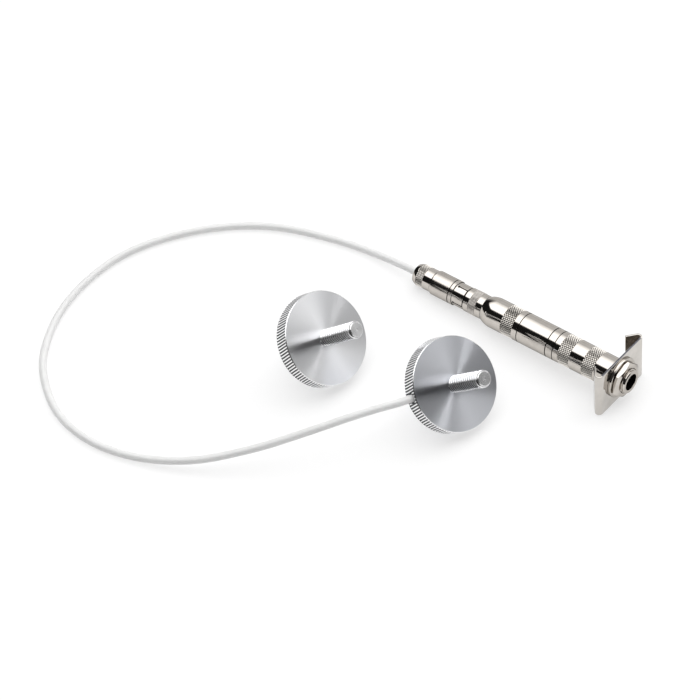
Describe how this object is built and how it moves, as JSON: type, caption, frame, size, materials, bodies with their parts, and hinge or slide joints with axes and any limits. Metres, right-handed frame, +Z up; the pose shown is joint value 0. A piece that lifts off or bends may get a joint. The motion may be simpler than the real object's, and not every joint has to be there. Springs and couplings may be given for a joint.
{
  "type": "bridge wheel pickup",
  "caption": "Double-bass bridge pickup: a wired adjuster wheel on a thin white lead with a push-on plug, a slim in-line quarter-inch jack with clip bracket, and a plain matching wheel.",
  "frame": {"origin": "bottom centre of the box around both wheels, the jack and its bracket, on the surface they lie on", "axes": "+X to the right in the picture and along the longest extent, +Y away from the viewer, +Z up"},
  "size_m": [0.2191, 0.1216, 0.0323],
  "materials": {
    "turned_aluminium": "fine turned",
    "wired_wheel_aluminium": "fine turned",
    "stud_aluminium": "threaded, bright",
    "nickel": "polished nickel plate",
    "bracket_nickel": "satin nickel plate",
    "contact_brass": "plain",
    "gold_plate": "thin gold plate",
    "copper": "tinned at the ends",
    "ceramic": "fired ceramic",
    "fibre_board": "phenolic",
    "black_rubber": "matte",
    "white_vinyl": "soft vinyl sheath",
    "red_vinyl": "soft vinyl sheath",
    "white_plastic": "moulded"
  },
  "bodies": {
    "pickup_lead": {"pickup_wheel": "wired_wheel_aluminium", "pickup_back_plate": "turned_aluminium", "pickup_stud": "stud_aluminium", "pickup_post": "turned_aluminium", "piezo_disc": "ceramic", "contact_disc": "contact_brass", "insulating_disc": "fibre_board", "wheel_core_wire": "copper", "lead_grommet": "black_rubber", "lead_cable": "white_vinyl", "plug_barrel": "nickel", "plug_ground_sleeve": "nickel", "plug_insulator": "white_plastic", "plug_pin": "gold_plate", "plug_core_wire": "copper"},
    "cable_bush": {"plug_cable_bush": "black_rubber"},
    "clamp_nut": {"plug_clamp_nut": "nickel"},
    "jack": {"socket_neck": "nickel", "socket_insulator": "white_plastic", "socket_contact": "gold_plate", "signal_wire": "red_vinyl", "jack_rear_barrel": "nickel", "jack_front_barrel": "nickel", "jack_bushing": "nickel", "contact_carrier": "fibre_board", "tip_terminal": "contact_brass"},
    "contact_spring": {"tip_spring": "contact_brass"},
    "bracket": {"clip_bracket": "bracket_nickel"},
    "washer": {"lock_washer": "nickel"},
    "nut": {"hex_nut": "nickel"},
    "loose_wheel": {"plain_wheel": "turned_aluminium", "plain_stud": "stud_aluminium", "plain_post": "turned_aluminium"}
  },
  "joints": [
    {"name": "clamp_back_off", "type": "slide", "parent": "pickup_lead", "child": "cable_bush", "axis": [-0.7774, 0.625, -0.071], "range_m": [0, 0.0024]},
    {"name": "clamp_turn", "type": "hinge", "parent": "cable_bush", "child": "clamp_nut", "pos_m": [-0.01436, 0.04413, 0.00424], "axis": [-0.7774, 0.625, -0.071], "range_deg": [0, 1080]},
    {"name": "jack_pull", "type": "slide", "parent": "pickup_lead", "child": "jack", "axis": [0.7774, -0.625, 0.071], "range_m": [0, 0.015]},
    {"name": "tip_spring_flex", "type": "hinge", "parent": "jack", "child": "contact_spring", "pos_m": [0.03738, 0.00254, 0.01247], "axis": [-0.6266, -0.7793, 0], "range_deg": [0, 4], "stiffness_Nm_per_rad": 0.2},
    {"name": "bracket_turn", "type": "hinge", "parent": "jack", "child": "bracket", "pos_m": [0.0572, -0.0134, 0.01078], "axis": [0.7774, -0.625, 0.071], "continuous": true},
    {"name": "nut_back_off", "type": "slide", "parent": "jack", "child": "washer", "axis": [0.7774, -0.625, 0.071], "range_m": [0, 0.00159]},
    {"name": "nut_turn", "type": "hinge", "parent": "washer", "child": "nut", "pos_m": [0.05813, -0.01415, 0.01086], "axis": [0.7774, -0.625, 0.071], "range_deg": [0, 720]},
    {"name": "loose_wheel_lift", "type": "slide", "parent": "pickup_lead", "child": "loose_wheel", "axis": [0, 0, 1], "range_m": [0, 0.04]}
  ],
  "couplings": [
    {"joint": "clamp_turn", "follows": "clamp_back_off", "rad_per_m": 7853.9},
    {"joint": "nut_turn", "follows": "nut_back_off", "rad_per_m": 7915.8}
  ]
}
